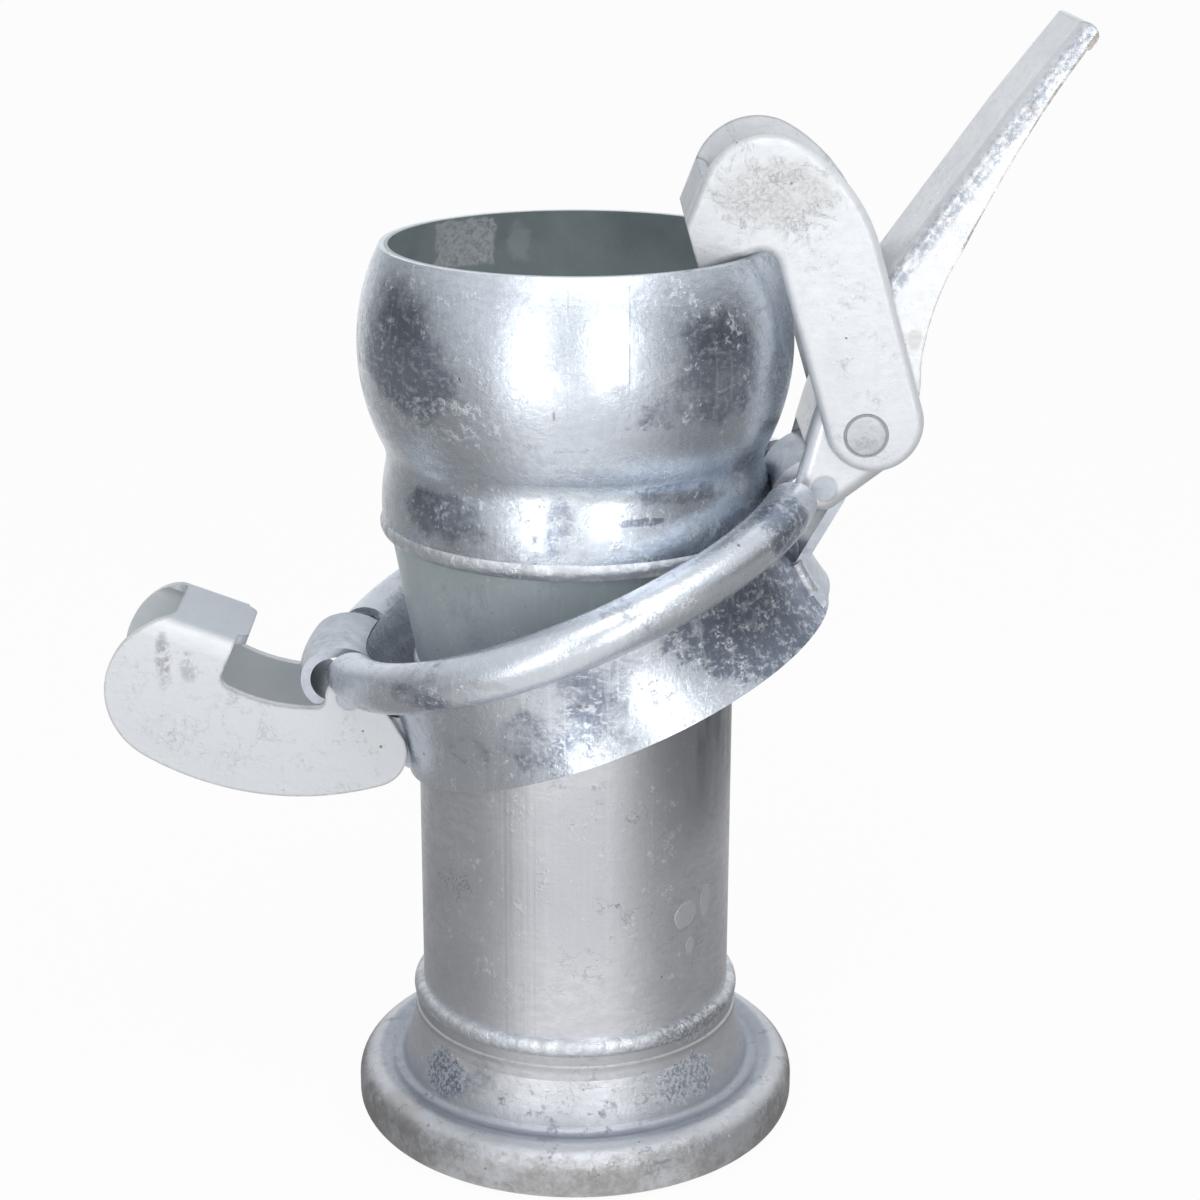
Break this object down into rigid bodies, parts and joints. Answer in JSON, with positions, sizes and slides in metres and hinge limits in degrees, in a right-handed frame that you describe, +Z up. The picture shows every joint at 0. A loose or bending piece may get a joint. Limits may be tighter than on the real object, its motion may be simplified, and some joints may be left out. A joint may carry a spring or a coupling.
{
  "type": "irrigation pipe reducer",
  "caption": "Galvanised quick-coupling pipe reducer: ball end, reducing cone, straight pipe and rolled-rim socket with seal, plus a loose closure ring with a hinged hook and a lever hook.",
  "frame": {"origin": "on the pipe axis, in the bottom plane of the socket's rolled rim", "axes": "+Z up the pipe axis towards the ball end, +X towards the lever, +Y to the far side of the picture"},
  "size_m": [0.318, 0.1802, 0.3821],
  "materials": {
    "zinc_ball": "hot-dip galvanised, mottled satin zinc",
    "zinc_cone": "hot-dip galvanised, mottled satin zinc",
    "zinc_pipe": "hot-dip galvanised, mottled satin zinc",
    "zinc_socket": "hot-dip galvanised, mottled satin zinc",
    "zinc_ring": "hot-dip galvanised, mottled satin zinc",
    "zinc_ear": "hot-dip galvanised, mottled satin zinc",
    "zinc_pin": "hot-dip galvanised, mottled satin zinc",
    "zinc_fixed_hook": "hot-dip galvanised, mottled satin zinc",
    "zinc_lever": "hot-dip galvanised, mottled satin zinc",
    "zinc_lever_hook": "hot-dip galvanised, mottled satin zinc",
    "zinc_rivet": "hot-dip galvanised, mottled satin zinc",
    "zinc_weld": "rough galvanised weld bead",
    "rubber": "matt black"
  },
  "bodies": {
    "reducer": {"ball_end": "zinc_ball", "weld_ball": "zinc_weld", "reducing_cone": "zinc_cone", "weld_pipe": "zinc_weld", "straight_pipe": "zinc_pipe", "weld_socket": "zinc_weld", "female_socket": "zinc_socket", "seal_ring": "rubber"},
    "ring": {"closure_ring": "zinc_ring", "ear_strap_left": "zinc_ear", "ear_strap_right": "zinc_ear", "ear_weld_left": "zinc_weld", "ear_weld_right": "zinc_weld", "side_weld_near": "zinc_weld", "side_weld_far": "zinc_weld", "hinge_pin_left": "zinc_pin", "hinge_pin_right": "zinc_pin"},
    "left_hook": {"fixed_hook": "zinc_fixed_hook"},
    "lever": {"lever_arm": "zinc_lever", "hook_rivet": "zinc_rivet"},
    "right_hook": {"lever_hook": "zinc_lever_hook"}
  },
  "joints": [
    {"name": "ring_swivel", "type": "hinge", "parent": "reducer", "child": "ring", "pos_m": [0, 0, 0.2], "axis": [0, 0, 1], "continuous": true},
    {"name": "lever_swing", "type": "hinge", "parent": "ring", "child": "lever", "pos_m": [0.08092, -0.0043, 0.23379], "axis": [0, 1, 0], "range_deg": [0, 105]},
    {"name": "lever_hook_turn", "type": "hinge", "parent": "lever", "child": "right_hook", "pos_m": [0.09342, -0.0043, 0.25249], "axis": [0, 1, 0], "range_deg": [0, 35]},
    {"name": "fixed_hook_turn", "type": "hinge", "parent": "ring", "child": "left_hook", "pos_m": [-0.07546, -0.0043, 0.16156], "axis": [0, 1, 0], "range_deg": [0, 70]}
  ]
}
